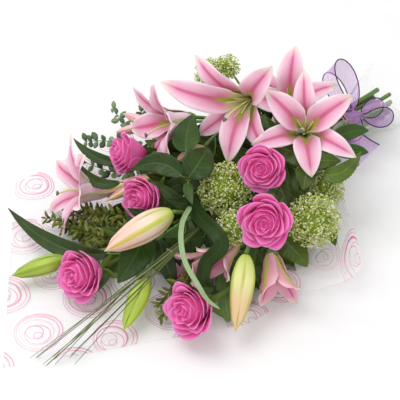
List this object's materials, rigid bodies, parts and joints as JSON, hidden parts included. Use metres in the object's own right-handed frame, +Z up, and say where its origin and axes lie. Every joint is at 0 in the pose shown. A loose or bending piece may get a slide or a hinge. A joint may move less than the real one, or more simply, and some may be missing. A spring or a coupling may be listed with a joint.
{
  "type": "flower bouquet",
  "caption": "Hand-tied mixed bouquet of pink lilies, hot pink roses and green foliage, lying on its printed film wrap, with a sheer ribbon bow round the stems.",
  "frame": {"origin": "a point on the underside of the film wrap, under the middle of the flower heads, in the plane the bouquet lies on", "axes": "+X along the bouquet from the flower heads to the cut stems, +Z up, +Y to the far side"},
  "size_m": [0.6631, 0.4082, 0.1975],
  "materials": {
    "rose_petal": "soft satin, hot pink",
    "lily_petal": "soft satin, pale pink with a deep midrib",
    "bud_skin": "waxy, blush to lime",
    "stamen": "waxy, yellow green",
    "green_leaf": "waxy, deep green",
    "umbel_green": "matt, lime green with cream tips",
    "pale_leaf": "waxy, pale green",
    "grey_leaf": "matt, grey green",
    "binding": "matt",
    "film": "clear film with a pink ring print",
    "ribbon": "sheer lilac ribbon with a dark edge"
  },
  "bodies": {
    "root": {"rose_stem_1": "green_leaf", "rose_stem_2": "green_leaf", "rose_stem_3": "green_leaf", "rose_stem_4": "green_leaf", "rose_stem_5": "green_leaf", "rose_stem_6": "green_leaf", "lily_stem_1": "green_leaf", "lily_stem_2": "green_leaf", "lily_stem_3": "green_leaf", "lily_stem_4": "green_leaf", "lily_stem_5": "green_leaf", "umbel_1": "umbel_green", "umbel_2": "umbel_green", "umbel_3": "umbel_green", "umbel_4": "umbel_green", "salal_1": "green_leaf", "salal_2": "green_leaf", "salal_3": "green_leaf", "eucalyptus_1": "grey_leaf", "eucalyptus_2": "grey_leaf", "filler_1": "grey_leaf", "filler_2": "grey_leaf", "strap_leaf": "green_leaf", "strip_leaf": "pale_leaf", "folded_leaf": "pale_leaf", "grass": "green_leaf", "rose_1": "rose_petal", "rose_2": "rose_petal", "rose_3": "rose_petal", "rose_4": "rose_petal", "rose_5": "rose_petal", "rose_6": "rose_petal", "lily_1_pistil": "stamen", "lily_2_pistil": "stamen", "lily_3_pistil": "stamen", "lily_4_pistil": "stamen", "lily_5_pistil": "stamen", "lily_1": "lily_petal", "lily_2": "lily_petal", "lily_3": "lily_petal", "lily_4": "lily_petal", "lily_5": "lily_petal", "lily_6": "lily_petal", "lily_7": "lily_petal", "lily_8": "lily_petal", "bud_1": "bud_skin", "bud_2": "bud_skin", "bud_3": "bud_skin", "bud_4": "bud_skin", "bud_5": "bud_skin", "bud_6": "bud_skin", "bud_7": "bud_skin", "binding_band": "binding", "ribbon_knot": "ribbon", "ribbon_ring": "ribbon", "ribbon_loop_1": "ribbon", "ribbon_loop_2": "ribbon", "ribbon_tail": "ribbon", "film_wrap": "film"}
  },
  "joints": []
}
